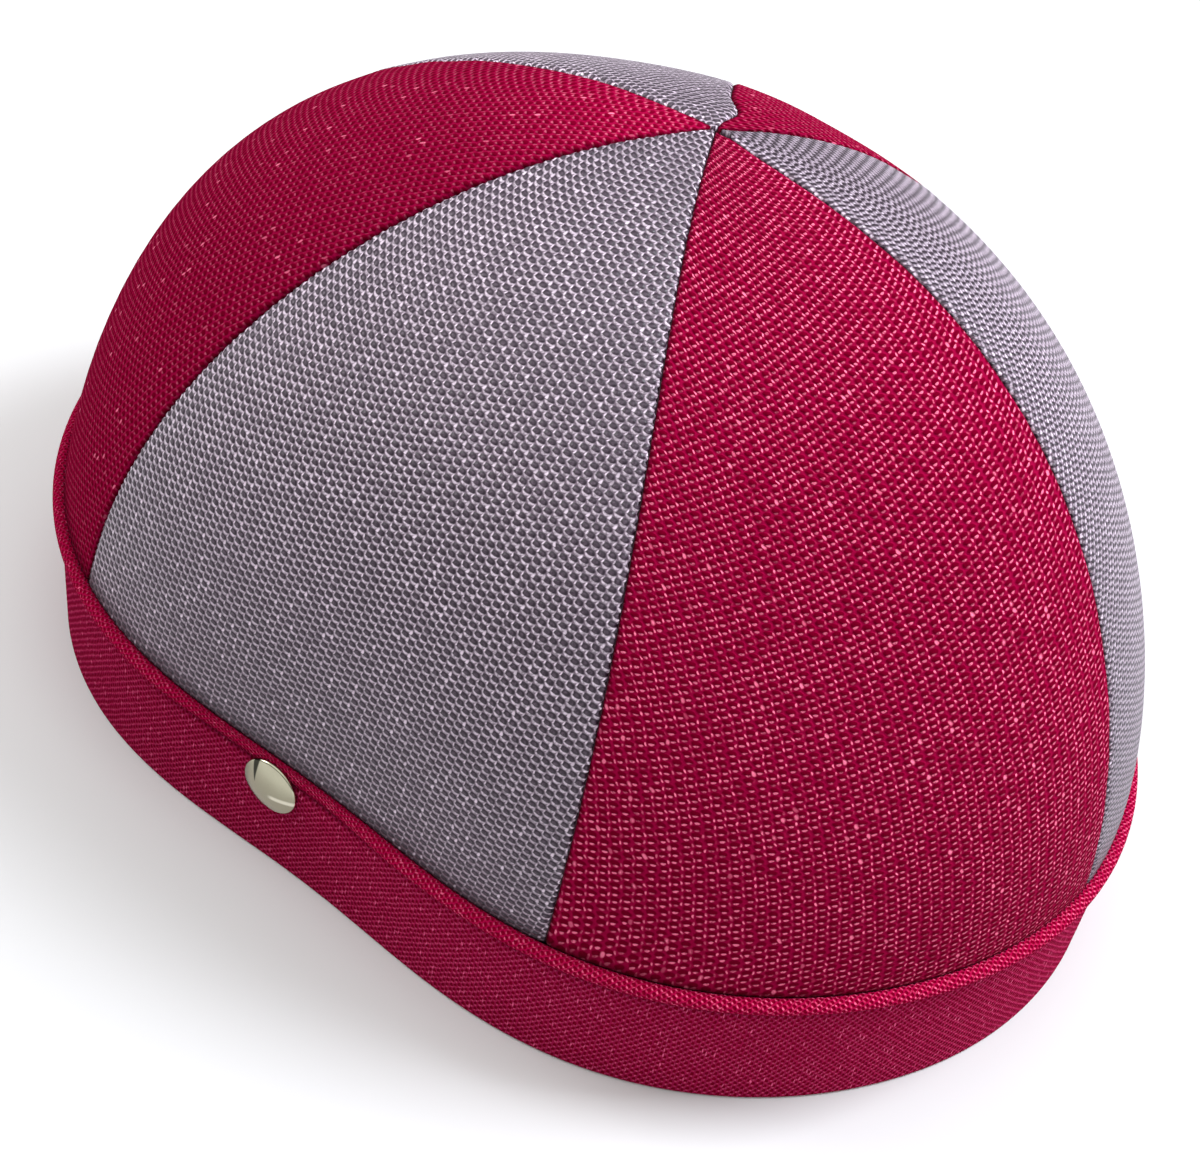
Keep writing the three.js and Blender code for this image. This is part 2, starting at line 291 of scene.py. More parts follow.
# Materials.
class Shader:
    """Adds nodes to a new material's tree."""

    def __init__(self, name):
        self.material = bpy.data.materials.new(name)
        self.material.use_nodes = True
        self.tree = self.material.node_tree
        self.surface = self.tree.nodes["Principled BSDF"]

    def add(self, kind, settings=None, **inputs):
        node = self.tree.nodes.new(kind)
        for key, value in (settings or {}).items():
            setattr(node, key, value)
        for key, value in inputs.items():
            self.put(node.inputs[key.replace("_", " ")], value)
        return node

    def put(self, socket, value):
        if isinstance(value, bpy.types.NodeSocket):
            self.tree.links.new(value, socket)
        else:
            socket.default_value = value

    def math(self, operation, *values, clamp=False):
        node = self.add("ShaderNodeMath", {"operation": operation, "use_clamp": clamp})
        for socket, value in zip(node.inputs, values):
            self.put(socket, value)
        return node.outputs[0]

    def vector(self, operation, *values):
        node = self.add("ShaderNodeVectorMath", {"operation": operation})
        for socket, value in zip(node.inputs, values):
            self.put(socket, value)
        return node.outputs[0]

    def ramp(self, value, low, high, to_low=0.0, to_high=1.0):
        settings = {"interpolation_type": "SMOOTHSTEP"}
        limits = {"From_Min": low, "From_Max": high, "To_Min": to_low, "To_Max": to_high}
        return self.add("ShaderNodeMapRange", settings, Value=value, **limits).outputs["Result"]

    def mix(self, share, a, b):
        node = self.add("ShaderNodeMix", {"data_type": "RGBA"})
        self.put(node.inputs[0], share)
        self.put(node.inputs[6], a)
        self.put(node.inputs[7], b)
        return node.outputs[2]

    def noise(self, place, scale, detail=2.0):
        return self.add("ShaderNodeTexNoise", Vector=place, Scale=scale, Detail=detail).outputs["Fac"]


# The parts of a stitch, as shares of its half width and its height.
CORE_SHARE = 0.6
BOWL_WIDTH = 0.7
BOWL_HEIGHT = 0.36
BOWL_UP = 0.08
LOOP_HEIGHT = 0.13
LOOP_DOWN = 0.27
LOOP_CURVE = 0.22
STRAND_CLIMB = 0.22
STRAND_UP = 0.1
# A few stitches get a small painted white glint on their strand.
PAINTED_SPARKLE_SIZE = 0.34
PAINTED_SPARKLE_LIGHT = 0.9

# How coarse the cloth's variations are, the straying and the patches for each stitch and the fibres
# for each millimetre, and how strong. KNIT_RELIEF is in metres.
WANDER_SCALE = 0.8
PATCH_SCALE = 0.05
FIBRE_SCALE = 1.7
PATCH_DEPTH = 0.3
FIBRE_RELIEF = 0.4
KNIT_RELIEF = 0.0003
KNIT_ROUGHNESS = 0.42
SHEEN_ROUGHNESS = 0.4


def knit_material(name, shades, cell, style):
    """Mesh cloth in cells of the knit map: each stitch is a dark eyelet over a bright curved loop,
    whose brightness is partly the yarn's own and partly painted glint.
    """
    shader = Shader(name)
    dark, middle, light = ((*shade, 1) for shade in shades)
    place = shader.add("ShaderNodeUVMap", {"uv_map": "knit"}).outputs["UV"]
    place = shader.vector("MULTIPLY", place, (*KNIT_CELL, 1.0))
    turned = shader.add("ShaderNodeMapping", Vector=place)
    turned.inputs["Rotation"].default_value = (0, 0, style["turn"] * DEGREE)
    place = shader.vector("DIVIDE", turned.outputs["Vector"], (*cell, 1.0))
    stray = shader.add("ShaderNodeTexNoise", Vector=place, Scale=WANDER_SCALE, Detail=2.0)
    wander = shader.vector("SUBTRACT", stray.outputs["Color"], (0.5, 0.5, 0.5))
    wander = shader.vector("MULTIPLY", wander, 3 * (style["wander"],))
    knit = shader.vector("ADD", place, wander)
    yarn = shader.noise(shader.vector("MULTIPLY", knit, (*cell, 1.0)), FIBRE_SCALE)
    patch = shader.noise(place, PATCH_SCALE)
    half = cell[0] / 4
    height = cell[1]
    spread = style["spread"]

    def length_of(x, y):
        squares = (shader.math("MULTIPLY", x, x), shader.math("MULTIPLY", y, y))
        return shader.math("SQRT", shader.math("ADD", *squares))

    def spot(across, up, half_width, half_height, soft):
        """1 in the middle of an upright ellipse, falling to 0 outside it."""
        distance = length_of(
            shader.math("DIVIDE", across, half_width),
            shader.math("DIVIDE", up, half_height),
        )
        return shader.ramp(distance, 1 - soft, 1 + soft, 1.0, 0.0)

    def chances_of(moved, shift):
        """Three random numbers for each stitch."""
        own = shader.vector("ADD", shader.vector("FLOOR", moved), (100 * shift, 0, 0))
        chance = shader.add("ShaderNodeTexWhiteNoise", {"noise_dimensions": "2D"})
        shader.put(chance.inputs["Vector"], own)
        return shader.add("ShaderNodeSeparateXYZ", Vector=chance.outputs["Color"]).outputs

    def stitch(shift, rise):
        """One stitch of each cell: its eyelet, its bright yarn with painted glints, the hollow in it
        and a small painted white glint on a few strands.
        """
        moved = shader.vector("ADD", knit, (shift, rise, 0))
        from_middle = shader.vector("SUBTRACT", shader.vector("FRACTION", moved), (0.5, 0.5, 0.0))
        from_middle = shader.vector("MULTIPLY", from_middle, (*cell, 0.0))
        parts = shader.add("ShaderNodeSeparateXYZ", Vector=from_middle)
        across, up = parts.outputs["X"], parts.outputs["Y"]

        hole_up = shader.math("SUBTRACT", up, style["lift"] * height)
        hole_size = (style["hole"] * half, style["open"] * height)
        hole = spot(across, hole_up, *hole_size, 0.3)
        core = spot(across, hole_up, CORE_SHARE * hole_size[0], CORE_SHARE * hole_size[1], 0.5)
        hole = shader.math("MULTIPLY", hole, shader.math("MULTIPLY_ADD", core, -style["core"], 1.0))
        bowl_up = shader.math("SUBTRACT", up, BOWL_UP * height)
        bowl = spot(across, bowl_up, BOWL_WIDTH * half, BOWL_HEIGHT * height, 0.8)

        square = shader.math("MULTIPLY", across, across)
        curve = shader.math("MULTIPLY", square, LOOP_CURVE * height / half ** 2)
        bent = shader.math("SUBTRACT", up, curve)
        bent = shader.math("MULTIPLY_ADD", across, -style["slant"], bent)
        bent = shader.math("ADD", bent, LOOP_DOWN * height)
        loop = spot(across, bent, style["dash"] * half, LOOP_HEIGHT * height, 0.5)

        side = shader.math("SUBTRACT", across, half)
        side_height = style["climb"] * STRAND_CLIMB * height - STRAND_UP * height
        side_up = shader.math("SUBTRACT", up, side_height)
        strand = spot(side, side_up, style["thick"] * half, style["rise"] * height, 0.5)
        painted_sparkle = spot(side, side_up, PAINTED_SPARKLE_SIZE * half, PAINTED_SPARKLE_SIZE * height, 0.4)

        chances = chances_of(moved, shift)
        dimming = 0.6 * spread
        loop_light = shader.math("MULTIPLY_ADD", chances["X"], spread, 1 - dimming)
        strand_light = shader.math("MULTIPLY_ADD", chances["Y"], spread, style["strand"] - dimming)
        chosen = shader.ramp(chances["Z"], 1 - style["painted_sparkles"], 1.0, 0.0, PAINTED_SPARKLE_LIGHT)
        loop = shader.math("MULTIPLY", loop, loop_light, clamp=True)
        strand = shader.math("MULTIPLY", strand, strand_light, clamp=True)
        painted_sparkle = shader.math("MULTIPLY", chosen, painted_sparkle)
        return hole, shader.math("MAXIMUM", loop, strand), bowl, painted_sparkle

    first, second = stitch(0.0, 0.0), stitch(0.5, style["stagger"])
    hole, loop, bowl, painted_sparkle = (shader.math("MAXIMUM", *pair) for pair in zip(first, second))
    shade = shader.add("ShaderNodeAttribute", {"attribute_name": "shade"}).outputs["Fac"]
    # Painted glints on the bright yarn, dimmer where the shade attribute paints shade, and the few
    # painted white glints.
    shine = shader.ramp(yarn, 0.3, 0.62, 0.4, style["glint"])
    glint = shader.math("MULTIPLY", loop, shine, clamp=True)
    glint = shader.math("MULTIPLY", glint, shader.ramp(shade, 0.7, 1.0, 0.4, 1.0))
    glint = shader.math("MAXIMUM", glint, painted_sparkle)
    depth = shader.math("MULTIPLY_ADD", yarn, -style["fleck"], 0.5 * style["fleck"])
    patches = shader.math("MULTIPLY_ADD", patch, PATCH_DEPTH, -PATCH_DEPTH / 2)
    depth = shader.math("ADD", depth, patches)
    depth = shader.math("ADD", depth, shader.math("MULTIPLY", hole, 1.2))
    colour = shader.mix(shader.ramp(depth, 0.0, 1.0), middle, dark)
    colour = shader.mix(glint, colour, light)
    # The shade attribute's painted light and shade scale the colour.
    colour = shader.vector("SCALE", colour)
    shader.put(colour.node.inputs["Scale"], shade)

    relief = shader.math("SUBTRACT", shader.math("MULTIPLY", yarn, FIBRE_RELIEF), bowl)
    bump = shader.add("ShaderNodeBump", Height=relief, Strength=1.0, Distance=KNIT_RELIEF)
    shader.put(shader.surface.inputs["Base Color"], colour)
    shader.put(shader.surface.inputs["Normal"], bump.outputs["Normal"])
    shader.surface.inputs["Roughness"].default_value = KNIT_ROUGHNESS
    shader.surface.inputs["Specular IOR Level"].default_value = style["gloss"]
    shader.surface.inputs["Sheen Weight"].default_value = style["sheen"]
    shader.surface.inputs["Sheen Roughness"].default_value = SHEEN_ROUGHNESS
    shader.surface.inputs["Sheen Tint"].default_value = light
    return shader.material


# The thread's fibres are as many as this in each metre, and stand this far out, in metres.
THREAD_FIBRE_SCALE = 4000.0
THREAD_RELIEF = 0.0001


def thread_material(name, colour):
    shader = Shader(name)
    place = shader.add("ShaderNodeTexCoord").outputs["Object"]
    fibre = shader.noise(place, THREAD_FIBRE_SCALE)
    shade = shader.mix(fibre, (*(0.5 * c for c in colour), 1), (*colour, 1))
    bump = shader.add("ShaderNodeBump", Height=fibre, Strength=0.6, Distance=THREAD_RELIEF)
    shader.put(shader.surface.inputs["Base Color"], shade)
    shader.put(shader.surface.inputs["Normal"], bump.outputs["Normal"])
    shader.surface.inputs["Roughness"].default_value = 0.6
    return shader.material


# The smears are as many as this in each metre.
SMEAR_SCALE = 500.0
# Painted reflections: a dark reflection, the nickel's own colour and a highlight.
NICKEL_PAINTED_DARK_REFLECTION = (0.04, 0.04, 0.028, 1)
NICKEL_COLOUR = (0.47, 0.45, 0.33, 1)
NICKEL_PAINTED_HIGHLIGHT = (1.0, 0.98, 0.8, 1)


def nickel_material(name):
    """Polished nickel with painted reflections: a painted dark reflection where the shade attribute is
    0, its own colour at 0.5 and a painted highlight at 1.
    """
    shader = Shader(name)
    place = shader.add("ShaderNodeTexCoord").outputs["Object"]
    smear = shader.noise(place, SMEAR_SCALE, 3.0)
    shade = shader.add("ShaderNodeAttribute", {"attribute_name": "shade"}).outputs["Fac"]
    shader.put(shader.surface.inputs["Roughness"], shader.ramp(smear, 0.3, 0.8, 0.12, 0.28))
    colour = shader.mix(shader.ramp(shade, 0.0, 0.5), NICKEL_PAINTED_DARK_REFLECTION, NICKEL_COLOUR)
    colour = shader.mix(shader.ramp(shade, 0.5, 1.0), colour, NICKEL_PAINTED_HIGHLIGHT)
    shader.put(shader.surface.inputs["Base Color"], colour)
    shader.surface.inputs["Metallic"].default_value = 1.0
    return shader.material


KNIT_CELL = (KNIT_WIDTH, KNIT_HEIGHT)
DRAWN_CELL = (DRAWN_KNIT_WIDTH, DRAWN_KNIT_HEIGHT)
BAND_CELL = (0.5 * KNIT_WIDTH, KNIT_HEIGHT)
ROLL_CELL = (0.6 * KNIT_WIDTH, 0.6 * KNIT_HEIGHT)
RIBBED_CELL = (RIBBED_KNIT_WIDTH, RIBBED_KNIT_HEIGHT)
# Each knit's dark, middle and light shade. The light shade is for the bright yarn, partly its own
# colour and partly painted glints.
LAVENDER_SHADES = ((0.022, 0.01, 0.022), (0.17, 0.122, 0.165), (0.85, 0.71, 0.84))
MAGENTA_SHADES = ((0.14, 0.0, 0.012), (0.27, 0.002, 0.036), (0.98, 0.2, 0.34))
BAND_SHADES = ((0.17, 0.0, 0.012), (0.31, 0.007, 0.053), (0.82, 0.12, 0.27))
# The roll is the band's own cloth folded over, on the bias; its lighter shades are painted light on
# its top, which faces the light.
ROLL_SHADES = ((0.2, 0.0, 0.015), (0.38, 0.003, 0.05), (0.8, 0.12, 0.24))
# How each knit looks, from the plain magenta one. Sizes are shares of a stitch's half width or height.
# - turn, in degrees, and stagger are how the rows and the second stitches lie, wander how they stray
# - hole, open and lift are the eyelet's width, height and place, core how light its middle is
# - dash and slant are the bright loop's width and tilt
# - strand, thick, rise and climb are the light, width, height and place of the strand beside the loop
# - spread and fleck are how unlike each other the stitches and the fibres are
# - glint is how bright the stitches' painted glints get, set higher on cloth facing the light; the
#   share of stitches with a small painted white glint comes next
# - gloss and sheen are the shader's own
MAGENTA_STYLE = {
    "turn": 0, "stagger": 0.5, "wander": 0.3,
    "hole": 0.8, "open": 0.34, "lift": 0.12, "core": 0.0,
    "dash": 0.4, "slant": 0.0,
    "strand": 0.3, "thick": 0.17, "rise": 0.24, "climb": 1,
    "spread": 1.0, "fleck": 1.1,
    "glint": 0.55, "painted_sparkles": 0.05, "gloss": 0.0, "sheen": 0.02,
}
# This gore faces the light, so its painted glints are the strongest.
DRAWN_STYLE = {
    **MAGENTA_STYLE,
    "wander": 0.32, "dash": 0.38, "slant": 0.12, "strand": 0.5, "rise": 0.22,
    "spread": 1.2, "glint": 1.7, "sheen": 0.05,
}
BAND_STYLE = {
    **MAGENTA_STYLE,
    "wander": 0.45, "hole": 0.75, "open": 0.32, "dash": 0.5,
    "strand": 0.35, "thick": 0.35, "rise": 0.2, "climb": 0,
    "spread": 0.9, "fleck": 1.2, "glint": 0.45, "painted_sparkles": 0.12, "sheen": 0.06,
}
ROLL_STYLE = {
    **MAGENTA_STYLE,
    "turn": 52, "wander": 0.45, "dash": 0.5, "strand": 0.1, "rise": 0.3, "climb": 0,
    "spread": 1.4, "fleck": 1.4, "glint": 1.3, "sheen": 0.05,
}
LAVENDER_STYLE = {
    **MAGENTA_STYLE,
    "wander": 0.14, "hole": 1.0, "open": 0.45, "core": 0.45, "dash": 0.9,
    "strand": 0.85, "rise": 0.3, "climb": -1,
    "spread": 0.4, "fleck": 0.9, "glint": 1.1, "painted_sparkles": 0.3, "gloss": 0.45, "sheen": 0.0,
}
RIBBED_STYLE = {
    **LAVENDER_STYLE,
    "stagger": 0.3, "wander": 0.2, "hole": 0.95, "open": 0.24, "lift": 0.25, "core": 0.2, "dash": 0.3,
    "strand": 0.8, "thick": 0.36, "rise": 0.33, "climb": -0.35,
    "spread": 0.5, "glint": 1.0, "painted_sparkles": 0.0,
}
LAVENDER = knit_material("lavender_knit", LAVENDER_SHADES, KNIT_CELL, LAVENDER_STYLE)
MAGENTA = knit_material("magenta_knit", MAGENTA_SHADES, KNIT_CELL, MAGENTA_STYLE)
DRAWN_MAGENTA = knit_material("drawn_magenta_knit", MAGENTA_SHADES, DRAWN_CELL, DRAWN_STYLE)
BAND_MAGENTA = knit_material("band_knit", BAND_SHADES, BAND_CELL, BAND_STYLE)
ROLL_MAGENTA = knit_material("roll_knit", ROLL_SHADES, ROLL_CELL, ROLL_STYLE)
RIBBED_LAVENDER = knit_material("ribbed_lavender_knit", LAVENDER_SHADES, RIBBED_CELL, RIBBED_STYLE)
MATERIALS = {"lavender_mesh": LAVENDER, "magenta_mesh": MAGENTA}
GORE_MATERIALS = {"gore_front_right": DRAWN_MAGENTA, "gore_front_left": RIBBED_LAVENDER}
# The thread in each seam is coloured near-black: painted shade in the seam's gap.
SEAM_THREAD_PAINTED_SHADE = thread_material("seam_thread_painted_shade", (0.04, 0.002, 0.015))
NICKEL = nickel_material("nickel")


# The crown.
GORE_COLUMNS = 40
GORE_ROWS = 330
HEM_ROWS = 6
EDGE_ROUND = 1.1
LAVENDER_EDGE_DEPTH = 0.405
MAGENTA_EDGE_DEPTH = 0.63
SEAM_HALF_GAP = 0.12
SCALLOP = 0.38
SCALLOP_OVERLAP = 0.15
RAGGEDNESS = 0.08
PUCKER_HEIGHT = 0.12
PUCKER_REACH = 3.5
PUCKER_WAVE = 3.1
PUCKER_DRIFT = 11
# How light the cloth is at its edges, at the hem and inside. All but the lavender edge's are painted
# shade.
LAVENDER_EDGE_LIGHTNESS = 1.3
MAGENTA_EDGE_PAINTED_SHADE = 0.45
HEM_PAINTED_SHADE = 0.55
INSIDE_PAINTED_SHADE = 0.8


def gore_ways(psi, tip_radius):
    """Ways from a gore's tip to the end of its hem, evenly spaced along the direction psi."""
    fine = np.linspace(way_at_radius(psi, tip_radius), 1, 4000)
    line = crown_point(np.full_like(fine, psi), fine)
    lengths = np.concatenate([[0], np.cumsum(np.linalg.norm(np.diff(line, axis=0), axis=1))])
    on_crown = np.interp(np.linspace(0, lengths[-1], GORE_ROWS), lengths, fine)
    return np.concatenate([on_crown, np.linspace(1, 2, HEM_ROWS + 1)[1:]])


def side_lengths(ways):
    return running_lengths(crown_point(np.zeros_like(ways), ways), 0)


def running_lengths(points, axis):
    steps = np.linalg.norm(np.diff(points, axis=axis), axis=-1)
    start = np.zeros_like(np.take(steps, [0], axis))
    return np.concatenate([start, np.cumsum(steps, axis)], axis)


def make_gore(index):
    gore = GORES[index]
    slot = "magenta_mesh" if index % 2 else "lavender_mesh"
    at_top = (gore["at"] + GORE_SPAN / 2 + SEAM_TWIST_DEGREES) * DEGREE
    ways = gore_ways(at_top, gore["tip"])
    across = np.sin(np.linspace(-1, 1, GORE_COLUMNS) * math.pi / 2)
    way = np.repeat(ways[:, None], GORE_COLUMNS, 1)
    first = seam_direction(index, ways)
    last = seam_direction(index + 1, ways)
    middle = (first + last) / 2
    radius = np.linalg.norm(outline(middle), axis=-1) * radius_share(middle, ways)
    rng = np.random.default_rng(100 + index)
    scalloped = slot == "lavender_mesh"

    def edge(gap):
        """How far the cloth starts from a seam, as an angle. Stitches scallop the lavender cloth."""
        ragged = np.convolve(rng.normal(size=len(ways) + 4), np.ones(5) / 5, "valid")
        wave = 0.5 + 0.5 * np.sin(TURN * side_lengths(ways) / KNIT_HEIGHT + 0.8 * ragged)
        scallop = SCALLOP * wave ** 2 - SCALLOP_OVERLAP if scalloped else gap
        return (SEAM_HALF_GAP + (scallop + RAGGEDNESS * ragged) * smooth(radius, 1, 12)) / radius

    start = first + edge(gore["gap"])
    end = last - edge(GORES[(index + 1) % len(GORES)]["gap"])
    psi = lerp(start[:, None], end[:, None], (across[None] + 1) / 2)

    base = crown_point(psi, way)
    normal = crown_normal(psi, way)
    sideways = running_lengths(base, 1)
    width = sideways[:, -1:]
    from_edge = np.minimum(sideways, width - sideways)
    edge_depth = LAVENDER_EDGE_DEPTH if scalloped else MAGENTA_EDGE_DEPTH
    dip = edge_depth * np.clip(1 - from_edge / EDGE_ROUND, 0, 1) ** 2 * smooth(width, 2, 14)
    centre_line = running_lengths(base[:, GORE_COLUMNS // 2], 0)
    along = np.repeat(centre_line[:, None], GORE_COLUMNS, 1)
    waves = np.sin(along / PUCKER_WAVE + 2 * np.sin(along / PUCKER_DRIFT) + index)
    fading = np.exp(-from_edge / PUCKER_REACH) * smooth(from_edge, 0.2, 1.2)
    pucker = PUCKER_HEIGHT * waves * fading
    outer = base + normal * (pucker - dip)[..., None]
    inner = base - normal * CROWN_WALL

    rows = len(ways)
    count = rows * GORE_COLUMNS
    rim = np.concatenate([
        np.arange(GORE_COLUMNS),
        np.arange(1, rows) * GORE_COLUMNS + GORE_COLUMNS - 1,
        (rows - 1) * GORE_COLUMNS + np.arange(GORE_COLUMNS - 2, -1, -1),
        np.arange(rows - 2, 0, -1) * GORE_COLUMNS,
    ])
    after = np.roll(rim, -1)
    sides = np.stack([after, rim, rim + count, after + count], -1)
    faces = np.concatenate([
        grid_faces(rows, GORE_COLUMNS),
        grid_faces(rows, GORE_COLUMNS, first=count, flip=True),
        sides,
    ])
    bend = DRAWN_BEND if gore["name"] == "gore_front_right" else 0
    right, up = sideways - width / 2, along[-1:] / 2 - along
    turn = gore["grain"] * DEGREE
    knit_across = right * math.cos(turn) + up * math.sin(turn) + bend * up ** 2 / 2
    knit_up = up * math.cos(turn) - right * math.sin(turn) - bend * right * up
    knit = np.stack([knit_across, knit_up], -1) / KNIT_CELL
    points = np.stack([outer, inner])
    material = GORE_MATERIALS.get(gore["name"], MATERIALS[slot])
    # Magenta edges are darker towards the seam: painted shade where the cloth dips into it. Lavender
    # edges are lighter.
    edge_lightness = LAVENDER_EDGE_LIGHTNESS if scalloped else MAGENTA_EDGE_PAINTED_SHADE
    shade = lerp(edge_lightness, 1, smooth(from_edge, 0.1, 0.9))
    # Painted shade: the hem is darker in the groove above the roll.
    shade = shade * lerp(HEM_PAINTED_SHADE, 1, smooth(1 - way, 0, 0.02))
    # Painted light and shade that change from the top to the hem, and from gore to gore.
    at_top, halfway, at_hem = GORE_PAINTED_LIGHT_AND_SHADE.get(gore["name"], CLOTH_PAINTED_SHADE)
    shade = shade * lerp(at_top, halfway, smooth(way, 0.08, 0.35))
    shade = shade * lerp(1, at_hem / halfway, smooth(way, 0.55, 0.95))
    # Painted shade: the inside of the crown is darker.
    shades = np.stack([shade, np.full_like(shade, INSIDE_PAINTED_SHADE)])
    knits = np.stack([knit, knit])
    piece = new_cloth("cloth_" + gore["name"], points, faces, material, knits, shades)
    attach(piece, "root")
    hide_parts(gore["name"])


def tube(line, radius, sides, frames):
    """Points of a tube along a line, whose rings lie in the plane of two given vectors."""
    turn = np.arange(sides) / sides * TURN
    u, v = frames
    ring = np.cos(turn)[None, :, None] * u[:, None] + np.sin(turn)[None, :, None] * v[:, None]
    return line[:, None] + ring * radius


def tube_faces(rows, sides):
    """The faces of a closed tube: rings of points from one end to the other, and a cap on each end."""
    caps = [np.arange(sides)[::-1], (rows - 1) * sides + np.arange(sides)]
    faces = [list(face) for face in grid_faces(rows, sides, around=True)]
    return faces + [list(cap) for cap in caps]


SEAM_THREAD_RADIUS = 0.42
SEAM_THREAD_DEPTH = 1.15
SEAM_THREAD_SIDES = 6
SEAM_THREAD_WAVE = 0.1


def make_seam_thread(index):
    at_top = (GORES[index]["at"] + SEAM_TWIST_DEGREES) * DEGREE
    ways = gore_ways(at_top, TOP_HOLE_RADIUS)[:GORE_ROWS + 2]
    psi = seam_direction(index, ways)
    normal = crown_normal(psi, ways)
    line = crown_point(psi, ways) - normal * SEAM_THREAD_DEPTH
    along = np.gradient(line, axis=0)
    along /= np.linalg.norm(along, axis=-1, keepdims=True)
    side = np.cross(normal, along)
    wave = SEAM_THREAD_WAVE * np.sin(TURN * side_lengths(ways) / KNIT_HEIGHT)
    line = line + side * wave[:, None]
    points = tube(line, SEAM_THREAD_RADIUS, SEAM_THREAD_SIDES, (side, normal))
    faces = tube_faces(len(line), SEAM_THREAD_SIDES)
    mesh = bpy.data.meshes.new("thread_seam")
    mesh.from_pydata((points.reshape(-1, 3) * METRES).tolist(), [], faces)
    mesh.update()
    mesh.shade_smooth()
    mesh.materials.append(SEAM_THREAD_PAINTED_SHADE)
    piece = bpy.data.objects.new("thread_seam_%d" % (index + 1), mesh)
    bpy.context.scene.collection.objects.link(piece)
    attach(piece, "root")


for index in range(len(GORES)):
    make_gore(index)
    make_seam_thread(index)


# The snaps' places, and the band. The band's face starts below its roll.
ROLL_FOOT = BAND_HEIGHT - 2 * ROLL_RADIUS
BAND_INSIDE = ROLL_OUTSIDE - ROLL_RADIUS
BAND_FACE = BAND_INSIDE + BAND_WALL
BAND_COLUMNS = 860
ROLL_ROWS = 22
ROLL_END = -0.42 * math.pi
FACE_ROWS = 42
FACE_TUCK = 0.4
FOLD_ROWS = 9
INSIDE_ROWS = 8


def snap_place(side):
    rightward = math.pi - math.asin(SNAP_BACK_OF_SIDE / (CROWN_WIDTH / 2))
    psi = np.array(rightward if side == "right" else math.pi - rightward)
    height = band_top(psi) - SNAP_BELOW_EDGE - SNAP_RADIUS
    origin = beside_outline(psi, BAND_FACE - band_drift(psi, height), height)
    return psi, origin, np.append(outline_normal(psi), 0)


SNAP_PLACES = {side: snap_place(side) for side in ("right", "left")}


def roll_share(psi):
    here = outline(psi)
    places = [outline(place[0]) for place in SNAP_PLACES.values()]
    nearest = np.min([np.linalg.norm(here - place, axis=-1) for place in places], axis=0)
    return smooth(nearest - SNAP_RADIUS - ROLL_FLAT_MARGIN, 0, ROLL_GROWTH)


def arc(centre, radius, start, end, steps):
    angle = np.linspace(start, end, steps)
    return np.stack([centre[0] + radius * np.cos(angle), centre[1] + radius * np.sin(angle)], -1)


def band_section():
    """Offsets from the outline and heights: over the roll, down the face, under, up the inside."""
    roll_centre = (ROLL_OUTSIDE, BAND_HEIGHT - ROLL_RADIUS)
    roll = arc(roll_centre, ROLL_RADIUS, math.pi, ROLL_END, ROLL_ROWS)
    face_heights = np.linspace(ROLL_FOOT - 0.15, 0.9, FACE_ROWS)
    under_roll = smooth(face_heights, ROLL_FOOT - 2.2, face_heights[0])
    face = np.stack([BAND_FACE - FACE_TUCK * under_roll, face_heights], -1)
    fold = arc((BAND_INSIDE + BAND_WALL / 2, BAND_WALL / 2), BAND_WALL / 2, 0, -math.pi, FOLD_ROWS)
    inside_heights = np.linspace(2, BAND_HEIGHT - 2.2, INSIDE_ROWS)
    inside = np.stack([np.full(INSIDE_ROWS, BAND_INSIDE), inside_heights], -1)
    return np.concatenate([roll, face, fold, inside])


def make_band():
    section = band_section()
    count = len(section)
    psi = np.repeat(np.linspace(0, TURN, BAND_COLUMNS, endpoint=False)[None], count, 0)
    offset = np.repeat(section[:, :1], BAND_COLUMNS, 1)
    level = np.repeat(section[:, 1:], BAND_COLUMNS, 1)
    height = level + (band_top(psi) - BAND_HEIGHT) * np.clip(level / ROLL_FOOT, 0, 1)
    offset = offset - np.maximum(0, offset - BAND_FACE) * (1 - roll_share(psi))
    points = beside_outline(psi, offset - band_drift(psi, height), height)
    rows = running_lengths(section[None], 1)[0]
    around = length_at_direction(psi)
    stitches = round(OUTLINE_LENGTHS[-1] / KNIT_WIDTH) / OUTLINE_LENGTHS[-1]
    down = np.repeat(-rows[:, None], BAND_COLUMNS, 1)
    knit = np.stack([around * stitches, down / KNIT_HEIGHT], -1)
    # One more column closes the knit map, and one more row closes the section.
    points = np.concatenate([points, points[:, :1]], 1)
    last = knit[:, :1] + [OUTLINE_LENGTHS[-1] * stitches, 0]
    knit = np.concatenate([knit, last], 1)
    points = np.concatenate([points, points[:1]], 0)
    knit = np.concatenate([knit, knit[-1:]], 0)
    # Painted shade: the cloth is darker close under the roll, in the roll's shadow, and where the roll
    # meets it.
    below_roll = ROLL_FOOT - section[:, 1]
    shade = lerp(0.3, 1, smooth(below_roll, -0.6, 2.4))
    shade[:ROLL_ROWS] = lerp(0.4, 1, smooth(np.linspace(1, 0, ROLL_ROWS), 0.0, 0.3))
    # Painted light: the band is lighter towards one side, as if lit from there, and darker opposite.
    direction = np.linspace(0, TURN, BAND_COLUMNS + 1)
    lightness = 1 + BAND_PAINTED_LIGHT_STRENGTH * np.cos(direction - BAND_PAINTED_LIGHT_DIRECTION * DEGREE)
    shade = np.append(shade, shade[-1])[:, None] * lightness[None]
    faces = grid_faces(count + 1, BAND_COLUMNS + 1, flip=True)
    piece = new_cloth("cloth_band", points, faces, BAND_MAGENTA, knit, shade)
    piece.data.materials.append(ROLL_MAGENTA)
    on_roll = np.arange(len(faces)) < (ROLL_ROWS - 1) * BAND_COLUMNS
    piece.data.polygons.foreach_set("material_index", on_roll.astype(np.int32))
    return piece


